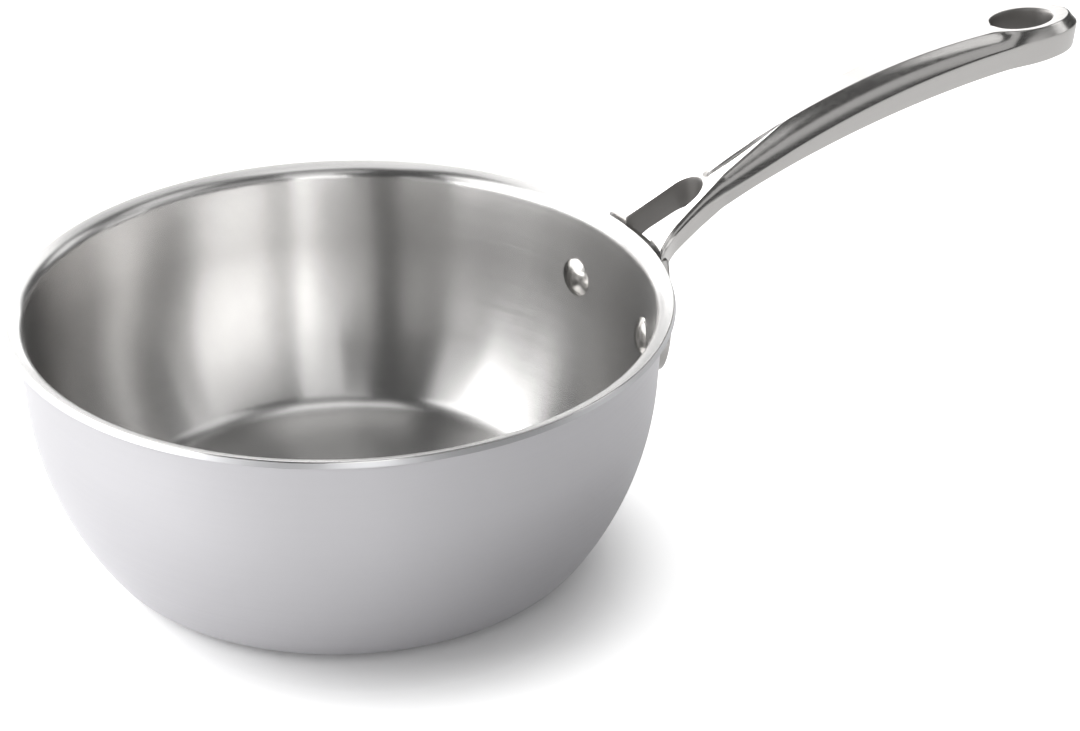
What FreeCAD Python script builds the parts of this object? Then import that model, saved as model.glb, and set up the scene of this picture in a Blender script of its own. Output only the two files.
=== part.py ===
"""A two-litre saucier pan: a clad bowl with a flared lip, and a forked cast handle held by two rivets.

Millimetres, +Z up. The origin is the centre of the base, on the surface that the pan stands on.
The handle points along +X. Heights on the handle are measured from the rim, and reaches along it
from the outer edge of the lip.
"""
import FreeCAD, Part
import math
import os
from FreeCAD import Vector

# Bowl, measured on its outer surface
RIM_HEIGHT = 85.5
WALL_TOP_RADIUS = 102.5
LIP_OVERHANG = 4.0
WALL_LEAN = math.radians(3.7)
WALL_FOOT_HEIGHT = 58.0
SIDE_RADIUS = 104.0
BASE_CORNER_RADIUS = 12.0
LIP_BEND_RADIUS = 2.0
LIP_SLOPE = math.radians(18.0)
LIP_EDGE_RADIUS = 0.35

# The three clad layers, from the outside in
SHELL_THICKNESS = 0.5
CORE_THICKNESS = 1.5
LINER_THICKNESS = 0.5

# Rivets
RIVET_ANGLE = math.radians(14.2)
RIVET_HEIGHT = 60.5
SHANK_DIAMETER = 6.0
HEAD_DIAMETER = 13.0
HEAD_HEIGHT = 2.6
TAIL_DIAMETER = 10.0
TAIL_HEIGHT = 1.2
SEAT_DEPTH = 0.3

# Mounting flange of the handle, seen from the end of the handle
EAR_RADIUS = 11.5
FLANGE_TOP_BELOW_RIM = 2.0
FLANGE_TOP_HALF_WIDTH = 19.0
FLANGE_FOOT_THICKNESS = 3.6
FLANGE_BEYOND_LIP = 3.2
FLANGE_ROUNDING = 0.8
LIP_CLEARANCE = 0.3

# Long lines of the handle: each is an arc in side view, given by its radius, and by how far short of
# the tip and how high above the rim it crests; a negative distance lies beyond the tip
HANDLE_REACH = 169.0
TOP_RADIUS = 246.0
TOP_CREST_FROM_TIP = 22.5
TOP_CREST_RISE = 50.6
CREASE_RADIUS = 318.0
CREASE_CREST_FROM_TIP = -5.4
CREASE_CREST_RISE = 47.1
UNDERSIDE_RADIUS = 388.0
UNDERSIDE_CREST_FROM_TIP = -12.5
UNDERSIDE_CREST_RISE = 38.9

# Half-widths of the grip at the shoulder, where the fork begins, and at the tip
SHOULDER_REACH = 52.0
SHOULDER_TOP_HALF = 3.7
SHOULDER_CREASE_HALF = 9.5
SHOULDER_UNDERSIDE_HALF = 8.0
TIP_TOP_HALF = 6.4
TIP_CREASE_HALF = 10.9
TIP_UNDERSIDE_HALF = 9.0
GRIP_SECTIONS = 9
# Bulge of the handle's upper sides, as a share of their width
SIDE_BULGE = 0.085
EDGE_ROUNDING = 0.7

# Fork: the legs' top is one sloping plane, from just above the lip up to the shoulder
FORK_RISE_AT_LIP = 2.0
# Reach, top half-width, crease half-width, crease drop, underside half-width, depth
FORK_SECTIONS = (
    (-3.0, 19.5, 21.0, 2.4, 18.5, 20.0),
    (1.5, 15.2, 16.8, 2.4, 14.8, 13.0),
    (6.0, 12.6, 14.2, 2.4, 12.4, 10.2),
    (12.5, 10.6, 12.1, 2.6, 10.6, 10.4),
    (19.5, 8.8, 10.5, 3.6, 9.0, 10.7),
    (27.5, 6.5, 9.2, 5.6, 8.0, 11.0),
    (39.5, 5.2, 9.3, 7.6, 8.0, 12.5),
)
SLOT_REACH = 22.8
SLOT_HALF_WIDTH = 8.6
SLOT_END_RADIUS = 6.6

# Tongue: the grip's top runs on over the fork as a tapering ridge
TONGUE_END_REACH = 24.6
TONGUE_END_HALF = 0.9
TONGUE_RADIUS = 120.0
TONGUE_SLOPE_AT_SHOULDER = math.radians(20.0)
TONGUE_OVERLAP = 4.0
TONGUE_DEPTH = 5.0

# Eye: the oval end of the handle, round the hanging hole. Setback from the tip, length and half-width
# at the level of the top, the crease and the underside
EYE_TOP = (3.7, 32.6, 10.2)
EYE_CREASE = (0.0, 38.0, 10.9)
EYE_UNDERSIDE = (0.6, 36.8, 9.4)
# The eye stands this far proud of the grip
EYE_RAISE = 0.1
# Metal that the eye's blank has to spare below the underside
EYE_SPARE = 1.0
HOLE_LENGTH = 22.4
HOLE_WIDTH = 15.8
HOLE_CENTRE_FROM_TIP = 22.0

LIP_RADIUS = WALL_TOP_RADIUS + LIP_OVERHANG
WALL_THICKNESS = SHELL_THICKNESS + CORE_THICKNESS + LINER_THICKNESS
# Taller than the whole pan, for cuts that go right through
CLEAR_HEIGHT = RIM_HEIGHT + 2 * TOP_CREST_RISE
FULL_TURN = 360.0
UP = Vector(0, 0, 1)
AXIS_POINT = Vector(0, 0, 0)


def polar(centre, radius, angle):
    """Point in the XZ plane at an angle from +X about a centre."""
    return Vector(centre.x + radius * math.cos(angle), 0, centre.z + radius * math.sin(angle))


def arc(centre, radius, start, end):
    """Arc edge in the XZ plane about a centre."""
    middle = (start + end) / 2
    points = [polar(centre, radius, angle) for angle in (start, middle, end)]
    return Part.Arc(*points).toShape()


def line(start, end):
    """Straight edge between two points."""
    return Part.LineSegment(start, end).toShape()


def closed_face(edges):
    """Flat face inside a closed loop of edges."""
    return Part.Face(Part.Wire(Part.__sortEdges__(edges)))


# Centres and turning points of the bowl's outline
BEND_CENTRE_RADIUS = WALL_TOP_RADIUS + LIP_BEND_RADIUS * math.cos(WALL_LEAN)
LIP_LENGTH = (
    LIP_RADIUS - BEND_CENTRE_RADIUS + LIP_BEND_RADIUS * math.sin(LIP_SLOPE)
) / math.cos(LIP_SLOPE)
BEND_CENTRE_HEIGHT = (
    RIM_HEIGHT
    - (LIP_BEND_RADIUS + WALL_THICKNESS) * math.cos(LIP_SLOPE)
    - LIP_LENGTH * math.sin(LIP_SLOPE)
)
BEND_CENTRE = Vector(BEND_CENTRE_RADIUS, 0, BEND_CENTRE_HEIGHT)
WALL_TOP_HEIGHT = BEND_CENTRE_HEIGHT + LIP_BEND_RADIUS * math.sin(WALL_LEAN)
LIP_DIRECTION = Vector(math.cos(LIP_SLOPE), 0, math.sin(LIP_SLOPE))


def wall_radius(height):
    """Outer radius of the straight part of the wall at a height."""
    return WALL_TOP_RADIUS - (WALL_TOP_HEIGHT - height) * math.tan(WALL_LEAN)


SIDE_CENTRE = Vector(
    wall_radius(WALL_FOOT_HEIGHT) - SIDE_RADIUS * math.cos(WALL_LEAN),
    0,
    WALL_FOOT_HEIGHT + SIDE_RADIUS * math.sin(WALL_LEAN),
)
CORNER_OFFSET = math.sqrt(
    (SIDE_RADIUS - BASE_CORNER_RADIUS) ** 2 - (SIDE_CENTRE.z - BASE_CORNER_RADIUS) ** 2
)
CORNER_CENTRE = Vector(SIDE_CENTRE.x + CORNER_OFFSET, 0, BASE_CORNER_RADIUS)
CORNER_ANGLE = math.atan2(CORNER_CENTRE.z - SIDE_CENTRE.z, CORNER_OFFSET)


def lip_end(depth):
    """End of the lip on the surface at a depth below the outer one."""
    bend_end = polar(BEND_CENTRE, LIP_BEND_RADIUS + depth, math.pi / 2 + LIP_SLOPE)
    return bend_end + LIP_DIRECTION * LIP_LENGTH


def surface_edges(depth, lip_setback=0.0):
    """Outline of the bowl from its axis to the lip, at a depth below the outer surface."""
    corner_radius = BASE_CORNER_RADIUS - depth
    side_radius = SIDE_RADIUS - depth
    bend_radius = LIP_BEND_RADIUS + depth
    flat_end = polar(CORNER_CENTRE, corner_radius, -math.pi / 2)
    wall_foot = polar(SIDE_CENTRE, side_radius, -WALL_LEAN)
    wall_top = polar(BEND_CENTRE, bend_radius, math.pi - WALL_LEAN)
    bend_end = polar(BEND_CENTRE, bend_radius, math.pi / 2 + LIP_SLOPE)
    end = lip_end(depth) - LIP_DIRECTION * lip_setback
    return [
        line(Vector(0, 0, depth), flat_end),
        arc(CORNER_CENTRE, corner_radius, -math.pi / 2, CORNER_ANGLE),
        arc(SIDE_CENTRE, side_radius, CORNER_ANGLE, -WALL_LEAN),
        line(wall_foot, wall_top),
        arc(BEND_CENTRE, bend_radius, math.pi - WALL_LEAN, math.pi / 2 + LIP_SLOPE),
        line(bend_end, end),
    ]


def rounded_end(depth, towards):
    """Quarter-round edge of the lip, from the surface at a depth towards the surface at another."""
    corner = lip_end(depth)
    across = (lip_end(towards) - corner).normalize()
    start = corner - LIP_DIRECTION * LIP_EDGE_RADIUS
    end = corner + across * LIP_EDGE_RADIUS
    centre = start + across * LIP_EDGE_RADIUS
    middle = centre + (LIP_DIRECTION - across).normalize() * LIP_EDGE_RADIUS
    return Part.Arc(start, middle, end).toShape(), end


def layer(outer_depth, inner_depth, round_outer=False, round_inner=False):
    """One layer of the bowl, between two depths below the outer surface."""
    outer_edges = surface_edges(outer_depth, LIP_EDGE_RADIUS if round_outer else 0.0)
    inner_edges = surface_edges(inner_depth, LIP_EDGE_RADIUS if round_inner else 0.0)
    outer_end = lip_end(outer_depth)
    inner_end = lip_end(inner_depth)
    rim = []
    if round_outer:
        edge, outer_end = rounded_end(outer_depth, inner_depth)
        rim.append(edge)
    if round_inner:
        edge, inner_end = rounded_end(inner_depth, outer_depth)
        rim.append(edge)
    rim.append(line(outer_end, inner_end))
    axis = line(Vector(0, 0, outer_depth), Vector(0, 0, inner_depth))
    face = closed_face(outer_edges + rim + inner_edges + [axis])
    return face.revolve(AXIS_POINT, UP, FULL_TURN)


def bowl_envelope():
    """Everything inside the bowl's outer surface, and the room that the lip needs."""
    edges = surface_edges(0.0)
    top = lip_end(0.0)
    lid = line(top, Vector(0, 0, top.z))
    axis = line(Vector(0, 0, top.z), Vector(0, 0, 0))
    inside = closed_face(edges + [lid, axis]).revolve(AXIS_POINT, UP, FULL_TURN)
    lip_room = Part.makeCylinder(
        LIP_RADIUS + LIP_CLEARANCE, RIM_HEIGHT, Vector(0, 0, WALL_TOP_HEIGHT), UP
    )
    return inside.fuse(lip_room)


def on_wall(shape, side):
    """Turns a shape made along +X from the inner wall's surface to one rivet's place."""
    inner_radius = wall_radius(RIVET_HEIGHT) - WALL_THICKNESS / math.cos(WALL_LEAN)
    placed = shape.copy()
    placed.rotate(AXIS_POINT, Vector(0, 1, 0), math.degrees(WALL_LEAN))
    placed.translate(Vector(inner_radius, 0, RIVET_HEIGHT))
    placed.rotate(AXIS_POINT, UP, side * math.degrees(RIVET_ANGLE))
    return placed


def rivet_stack():
    """Thickness that a rivet clamps: the wall, and the flange where the rivet passes."""
    return WALL_THICKNESS + flange_thickness(RIVET_HEIGHT)


def rivet_hole(side):
    """Room of one rivet's shank, through the wall and the flange."""
    margin = HEAD_DIAMETER
    blank = Part.makeCylinder(
        SHANK_DIAMETER / 2, rivet_stack() + 2 * margin, Vector(-margin, 0, 0), Vector(1, 0, 0)
    )
    return on_wall(blank, side)


def dome_edge(diameter, height, seat, direction):
    """Arc of a domed button on the X axis, from its rim at a seat to its crown."""
    radius = (diameter ** 2 / 4 + height ** 2) / (2 * height)
    centre = seat - direction * (radius - height)
    half_angle = math.asin(diameter / 2 / radius) / 2
    rim = Vector(seat, diameter / 2, 0)
    middle = Vector(centre + direction * radius * math.cos(half_angle), radius * math.sin(half_angle), 0)
    crown = Vector(seat + direction * height, 0, 0)
    return Part.Arc(rim, middle, crown).toShape()


def rivet(side, wall, cast_handle):
    """One set rivet: a domed head inside the bowl, a shank, and an upset tail on the flange."""
    stack = rivet_stack()
    head_rim = Vector(0, HEAD_DIAMETER / 2, 0)
    tail_rim = Vector(stack, TAIL_DIAMETER / 2, 0)
    sunk = [
        head_rim,
        Vector(SEAT_DEPTH, HEAD_DIAMETER / 2, 0),
        Vector(SEAT_DEPTH, SHANK_DIAMETER / 2, 0),
        Vector(stack - SEAT_DEPTH, SHANK_DIAMETER / 2, 0),
        Vector(stack - SEAT_DEPTH, TAIL_DIAMETER / 2, 0),
        tail_rim,
    ]
    half = [line(start, end) for start, end in zip(sunk, sunk[1:])]
    half.append(dome_edge(HEAD_DIAMETER, HEAD_HEIGHT, 0.0, -1))
    half.append(dome_edge(TAIL_DIAMETER, TAIL_HEIGHT, stack, 1))
    half.append(line(Vector(-HEAD_HEIGHT, 0, 0), Vector(stack + TAIL_HEIGHT, 0, 0)))
    blank = closed_face(half).revolve(AXIS_POINT, Vector(1, 0, 0), FULL_TURN)
    return on_wall(blank, side).cut([wall, cast_handle])


def crest_height(reach, radius, crest_from_tip, crest_rise):
    """Height of one of the handle's long arcs at a reach from the lip."""
    from_crest = reach - (HANDLE_REACH - crest_from_tip)
    drop = radius - math.sqrt(radius ** 2 - from_crest ** 2)
    return RIM_HEIGHT + crest_rise - drop


def top_height(reach):
    """Height of the grip's top."""
    return crest_height(reach, TOP_RADIUS, TOP_CREST_FROM_TIP, TOP_CREST_RISE)


def crease_height(reach):
    """Height of the crease along the grip's sides."""
    return crest_height(reach, CREASE_RADIUS, CREASE_CREST_FROM_TIP, CREASE_CREST_RISE)


def underside_height(reach):
    """Height of the grip's underside."""
    return crest_height(reach, UNDERSIDE_RADIUS, UNDERSIDE_CREST_FROM_TIP, UNDERSIDE_CREST_RISE)


def fork_height(reach):
    """Height of the plane on the legs' top, which meets the grip's top at the shoulder."""
    lip_height = RIM_HEIGHT + FORK_RISE_AT_LIP
    slope = (top_height(SHOULDER_REACH) - lip_height) / SHOULDER_REACH
    return lip_height + slope * reach


def bulged(start, end):
    """Arc across one upper side of a cross-section, pushed outwards at its middle."""
    chord = end - start
    outwards = Vector(0, -chord.z, chord.y)
    return Part.Arc(start, (start + end) / 2 + outwards * SIDE_BULGE, end).toShape()


def section(reach, top_half, top, crease_half, crease, underside_half, underside):
    """Six-sided cross-section of the handle, with bulging upper sides."""
    x = LIP_RADIUS + reach
    left = [
        Vector(x, top_half, top),
        Vector(x, crease_half, crease),
        Vector(x, underside_half, underside),
    ]
    right = [Vector(x, -point.y, point.z) for point in left]
    return Part.Wire([
        bulged(left[0], left[1]),
        line(left[1], left[2]),
        line(left[2], right[2]),
        line(right[2], right[1]),
        bulged(right[1], right[0]),
        line(right[0], left[0]),
    ])


def grip_section(reach):
    """Cross-section of the grip between the shoulder and the tip."""
    share = (reach - SHOULDER_REACH) / (HANDLE_REACH - SHOULDER_REACH)
    return section(
        reach,
        SHOULDER_TOP_HALF + share * (TIP_TOP_HALF - SHOULDER_TOP_HALF),
        top_height(reach),
        SHOULDER_CREASE_HALF + share * (TIP_CREASE_HALF - SHOULDER_CREASE_HALF),
        crease_height(reach),
        SHOULDER_UNDERSIDE_HALF + share * (TIP_UNDERSIDE_HALF - SHOULDER_UNDERSIDE_HALF),
        underside_height(reach),
    )


def fork_section(reach, top_half, crease_half, crease_drop, underside_half, depth):
    """Cross-section of the fork, below the plane on the legs' top."""
    top = fork_height(reach)
    return section(reach, top_half, top, crease_half, top - crease_drop, underside_half, top - depth)


def hanging_hole(margin=0.0):
    """Oval room through the eye, for a hook."""
    centre = Vector(LIP_RADIUS + HANDLE_REACH - HOLE_CENTRE_FROM_TIP, 0, 0)
    oval = Part.Ellipse(centre, HOLE_LENGTH / 2 + margin, HOLE_WIDTH / 2 + margin).toShape()
    return Part.Face(Part.Wire(oval)).extrude(UP * CLEAR_HEIGHT)


def eye_outline(level, height, slope):
    """Oval outline of the eye at one level, tilted to follow the handle."""
    setback, length, half_width = level
    centre = Vector(LIP_RADIUS + HANDLE_REACH - setback - length / 2, 0, height)
    along = Vector(length / 2, 0, slope * length / 2)
    across = Vector(0, half_width, 0)
    return Part.Wire(Part.Ellipse(centre + along, centre + across, centre).toShape())


def tangent_outline(level, height_at, touch, lift):
    """Outline of the eye on the tangent of one of the handle's long arcs at a reach."""
    setback, length, _ = level
    middle = HANDLE_REACH - setback - length / 2
    slope = (height_at(touch + EYE_RAISE) - height_at(touch - EYE_RAISE)) / (2 * EYE_RAISE)
    return eye_outline(level, height_at(touch) + slope * (middle - touch) + lift, slope)


def under_eye():
    """Metal below the handle's underside, which the eye's blank has to spare."""
    length = EYE_CREASE[1]
    reaches = [HANDLE_REACH - length - EYE_SPARE, HANDLE_REACH - length / 2, HANDLE_REACH + EYE_SPARE]
    points = [Vector(LIP_RADIUS + reach, 0, underside_height(reach) - EYE_RAISE) for reach in reaches]
    start, _, end = points
    sink = Vector(0, 0, -length)
    side_view = closed_face([
        Part.Arc(*points).toShape(),
        line(end, end + sink),
        line(end + sink, start + sink),
        line(start + sink, start),
    ])
    across = Vector(0, length, 0)
    waste = side_view.extrude(across)
    waste.translate(across / -2)
    return waste


def eye():
    """The oval end of the handle, with its hanging hole and rounded rims."""
    hole_centre = HANDLE_REACH - HOLE_CENTRE_FROM_TIP
    outlines = [
        tangent_outline(EYE_UNDERSIDE, underside_height, hole_centre, -EYE_SPARE),
        tangent_outline(EYE_CREASE, crease_height, hole_centre, 0.0),
        tangent_outline(EYE_TOP, top_height, hole_centre - HOLE_LENGTH / 2, EYE_RAISE),
    ]
    blank = Part.makeLoft(outlines, True, True).cut([under_eye(), hanging_hole()])
    rings = [edge for edge in blank.Edges if edge.BoundBox.YLength > EDGE_ROUNDING]
    return blank.makeFillet(EDGE_ROUNDING, rings)


def arm():
    """Fork and grip in one sweep from the wall into the eye, before the slot is cut."""
    length = HANDLE_REACH - EYE_CREASE[1] / 2 - SHOULDER_REACH
    step = length / (GRIP_SECTIONS - 1)
    wires = [fork_section(*row) for row in FORK_SECTIONS]
    wires += [grip_section(SHOULDER_REACH + index * step) for index in range(GRIP_SECTIONS)]
    blank = Part.makeLoft(wires, True, False)
    # Every edge but those of the flat ends
    lengthways = [edge for edge in blank.Edges if edge.BoundBox.XLength > EDGE_ROUNDING]
    rounded = blank.makeFillet(EDGE_ROUNDING, lengthways)
    # The hole's room is wider here, so that the arm stays clear of the rounded rims
    return rounded.cut(hanging_hole(2 * EDGE_ROUNDING)).fuse(eye())


def slot():
    """Room between the fork's legs: tapering from the lip to a round end."""
    far = LIP_RADIUS + SLOT_REACH
    centre = Vector(far - SLOT_END_RADIUS, 0, 0)
    spread = math.asin((SLOT_HALF_WIDTH - SLOT_END_RADIUS) / (centre.x - LIP_RADIUS))
    touch = centre + Vector(math.sin(spread), math.cos(spread), 0) * SLOT_END_RADIUS
    mouth = Vector(LIP_RADIUS - SLOT_REACH, SLOT_HALF_WIDTH + SLOT_REACH * math.tan(spread), 0)
    flipped = [Vector(point.x, -point.y, 0) for point in (touch, mouth)]
    edges = [
        line(mouth, touch),
        Part.Arc(touch, Vector(far, 0, 0), flipped[0]).toShape(),
        line(flipped[0], flipped[1]),
        line(flipped[1], mouth),
    ]
    return closed_face(edges).extrude(UP * CLEAR_HEIGHT)


def tongue():
    """The tapering ridge that carries the grip's top on over the fork."""
    shoulder = Vector(LIP_RADIUS + SHOULDER_REACH, 0, top_height(SHOULDER_REACH))
    centre = shoulder - Vector(
        -math.sin(TONGUE_SLOPE_AT_SHOULDER), 0, math.cos(TONGUE_SLOPE_AT_SHOULDER)
    ) * TONGUE_RADIUS

    def ridge(x):
        return centre.z + math.sqrt(TONGUE_RADIUS ** 2 - (x - centre.x) ** 2)

    near = LIP_RADIUS + TONGUE_END_REACH
    far = shoulder.x + TONGUE_OVERLAP
    middle = (near + far) / 2
    start = Vector(near, 0, ridge(near))
    end = Vector(far, 0, ridge(far))
    sink = Vector(0, 0, -TONGUE_DEPTH)
    side_view = closed_face([
        Part.Arc(start, Vector(middle, 0, ridge(middle)), end).toShape(),
        line(end, end + sink),
        line(end + sink, start + sink),
        line(start + sink, start),
    ])
    slab = side_view.extrude(Vector(0, 2 * SHOULDER_TOP_HALF, 0))
    slab.translate(Vector(0, -SHOULDER_TOP_HALF, 0))
    outline = [
        Vector(near, TONGUE_END_HALF, 0),
        Vector(shoulder.x, SHOULDER_TOP_HALF, 0),
        Vector(far, SHOULDER_TOP_HALF, 0),
        Vector(far, -SHOULDER_TOP_HALF, 0),
        Vector(shoulder.x, -SHOULDER_TOP_HALF, 0),
        Vector(near, -TONGUE_END_HALF, 0),
    ]
    plan = Part.Face(Part.makePolygon(outline + outline[:1]))
    return slab.common(plan.extrude(UP * CLEAR_HEIGHT))


def flange_foot():
    """Height of the flange's lower edge."""
    return RIVET_HEIGHT - EAR_RADIUS


def flange_thickness(height):
    """Thickness of the flange, which grows towards the legs."""
    top = RIM_HEIGHT - FLANGE_TOP_BELOW_RIM
    top_thickness = LIP_RADIUS + FLANGE_BEYOND_LIP - wall_radius(top)
    share = (height - flange_foot()) / (top - flange_foot())
    return FLANGE_FOOT_THICKNESS + share * (top_thickness - FLANGE_FOOT_THICKNESS)


def flange():
    """The curved pad that seats the handle on the wall, with a round ear about each rivet."""
    foot = flange_foot()
    top = RIM_HEIGHT - FLANGE_TOP_BELOW_RIM
    # The blank begins well inside the bowl, which is cut from it later
    root = SIDE_RADIUS / 2
    ring_edges = [
        Vector(root, 0, foot),
        Vector(wall_radius(foot) + flange_thickness(foot), 0, foot),
        Vector(wall_radius(top) + flange_thickness(top), 0, top),
        Vector(root, 0, top),
    ]
    ring = Part.Face(Part.makePolygon(ring_edges + ring_edges[:1])).revolve(AXIS_POINT, UP, FULL_TURN)
    ear_y = wall_radius(RIVET_HEIGHT) * math.sin(RIVET_ANGLE)
    ear = Vector(0, ear_y, RIVET_HEIGHT)
    corner = Vector(0, FLANGE_TOP_HALF_WIDTH, top)
    to_corner = corner - ear
    turn = math.atan2(to_corner.z, to_corner.y) - math.acos(EAR_RADIUS / to_corner.Length)
    touch = ear + Vector(0, math.cos(turn), math.sin(turn)) * EAR_RADIUS
    low = ear - UP * EAR_RADIUS
    middle_turn = (turn - math.pi / 2) / 2
    middle = ear + Vector(0, math.cos(middle_turn), math.sin(middle_turn)) * EAR_RADIUS
    points = [corner, touch, middle, low]
    mirrored = [Vector(0, -point.y, point.z) for point in points]
    outline = closed_face([
        line(corner, touch),
        Part.Arc(touch, middle, low).toShape(),
        line(low, mirrored[3]),
        Part.Arc(mirrored[3], mirrored[2], mirrored[1]).toShape(),
        line(mirrored[1], mirrored[0]),
        line(mirrored[0], corner),
    ])
    pad = ring.common(outline.extrude(Vector(2 * LIP_RADIUS, 0, 0)))
    front = max(pad.Faces, key=lambda face: face.CenterOfMass.x)
    return pad.makeFillet(FLANGE_ROUNDING, front.Edges)


def handle():
    """The cast handle: flange, fork, tongue and grip in one piece, cut to sit on the bowl."""
    body = arm().fuse(tongue())
    body = body.cut(slot()).fuse(flange())
    rooms = [bowl_envelope(), rivet_hole(1), rivet_hole(-1)]
    return body.cut(rooms)


def drilled(shape):
    """A layer of the bowl with its two rivet holes."""
    return shape.cut([rivet_hole(1), rivet_hole(-1)])


def save(shape, name):
    """Writes one piece to its file."""
    shape.exportStep(os.path.join("parts", name + ".step"))


def main():
    """Builds every piece in its place."""
    os.makedirs("parts", exist_ok=True)
    core_depth = SHELL_THICKNESS
    liner_depth = SHELL_THICKNESS + CORE_THICKNESS
    wall = drilled(layer(0.0, WALL_THICKNESS))
    cast_handle = handle()
    save(drilled(layer(0.0, core_depth, round_outer=True)), "outer_shell")
    save(drilled(layer(core_depth, liner_depth)), "aluminium_core")
    save(drilled(layer(liner_depth, WALL_THICKNESS, round_inner=True)), "inner_liner")
    save(cast_handle, "handle")
    save(Part.makeCompound([rivet(side, wall, cast_handle) for side in (1, -1)]), "handle_rivets")


main()
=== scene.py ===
"""Looks of a two-litre saucier pan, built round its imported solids.

Blender works in metres, +Z up, with the handle along +X and the origin at the centre of the base.
Sizes in the classes are in millimetres. Reaches along the handle are measured from the lip's outer
edge, and rises from the rim.
"""

import logging
import math
from dataclasses import dataclass, field
from enum import Enum, IntEnum
from typing import Any, Optional, Sequence, Union

import bmesh
import bpy
from mathutils import Euler, Matrix, Vector


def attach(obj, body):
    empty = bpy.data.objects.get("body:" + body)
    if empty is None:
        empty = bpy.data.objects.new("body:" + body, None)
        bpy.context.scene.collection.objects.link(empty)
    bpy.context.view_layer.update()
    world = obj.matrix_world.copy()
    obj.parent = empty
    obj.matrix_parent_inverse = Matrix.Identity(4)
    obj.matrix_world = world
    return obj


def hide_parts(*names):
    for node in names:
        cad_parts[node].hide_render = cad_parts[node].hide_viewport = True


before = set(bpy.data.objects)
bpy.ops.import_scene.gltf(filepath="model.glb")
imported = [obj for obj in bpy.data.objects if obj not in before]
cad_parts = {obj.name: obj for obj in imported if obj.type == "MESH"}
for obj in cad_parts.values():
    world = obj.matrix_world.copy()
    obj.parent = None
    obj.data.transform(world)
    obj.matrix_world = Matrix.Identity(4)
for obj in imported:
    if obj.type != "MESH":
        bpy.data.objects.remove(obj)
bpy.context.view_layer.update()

log = logging.getLogger("saucier")
MM = 0.001
TURN = 2 * math.pi
ROOT = "root"
# Mark of the walls in the slot and the hole, which get a dull skin and a painted shade
SKIN_AND_SHADE_MARK = "skin_and_painted_shade"
MERGE_MM = 1e-4
SLIVER_MM = 1e-5
MIDDLE_MM = 1e-6
WELD_M = 1e-6
# Turn of a stretched highlight that lays it across the rings, up and down the wall
ACROSS_RINGS = 0.25
# Part of a noise texture's range that most of its values lie in, for rings and for hairlines
RING_SPAN = (0.25, 0.75)
HAIRLINE_SPAN = (0.3, 0.7)
# A cage point in the middle of a side has to stand out by this much more than the smooth side
CAGE_BULGE = 1.5


def linear(colour: str) -> tuple[float, float, float, float]:
    """Turns an sRGB hex colour into linear RGBA.

    Args:
        colour: Six hex digits.

    Returns:
        Linear red, green, blue and an alpha of 1.
    """
    channels = [int(colour[index:index + 2], 16) / 255 for index in (0, 2, 4)]
    red, green, blue = (
        value / 12.92 if value <= 0.04045 else ((value + 0.055) / 1.055) ** 2.4
        for value in channels
    )
    return red, green, blue, 1.0


def add_node(
    tree: bpy.types.NodeTree,
    kind: str,
    inputs: Optional[dict[Union[str, int], Any]] = None,
    **settings: Any,
) -> bpy.types.Node:
    """Adds a shader node with its settings, values and links.

    Args:
        tree: Node tree that gets the node.
        kind: Blender's name for the node's type.
        inputs: Value or linked socket for each input, by name or by place.
        settings: Properties of the node itself.

    Returns:
        The new node.
    """
    node = tree.nodes.new(kind)
    for name, value in settings.items():
        setattr(node, name, value)
    for name, value in (inputs or {}).items():
        if isinstance(value, bpy.types.NodeSocket):
            tree.links.new(value, node.inputs[name])
        else:
            node.inputs[name].default_value = value
    return node


def empty_material(name: str) -> tuple[bpy.types.Material, bpy.types.NodeTree]:
    """Makes a material with no nodes.

    Args:
        name: Name of the material.

    Returns:
        The material and its node tree.
    """
    material = bpy.data.materials.new(name)
    material.use_nodes = True
    material.node_tree.nodes.clear()
    return material, material.node_tree


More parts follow.
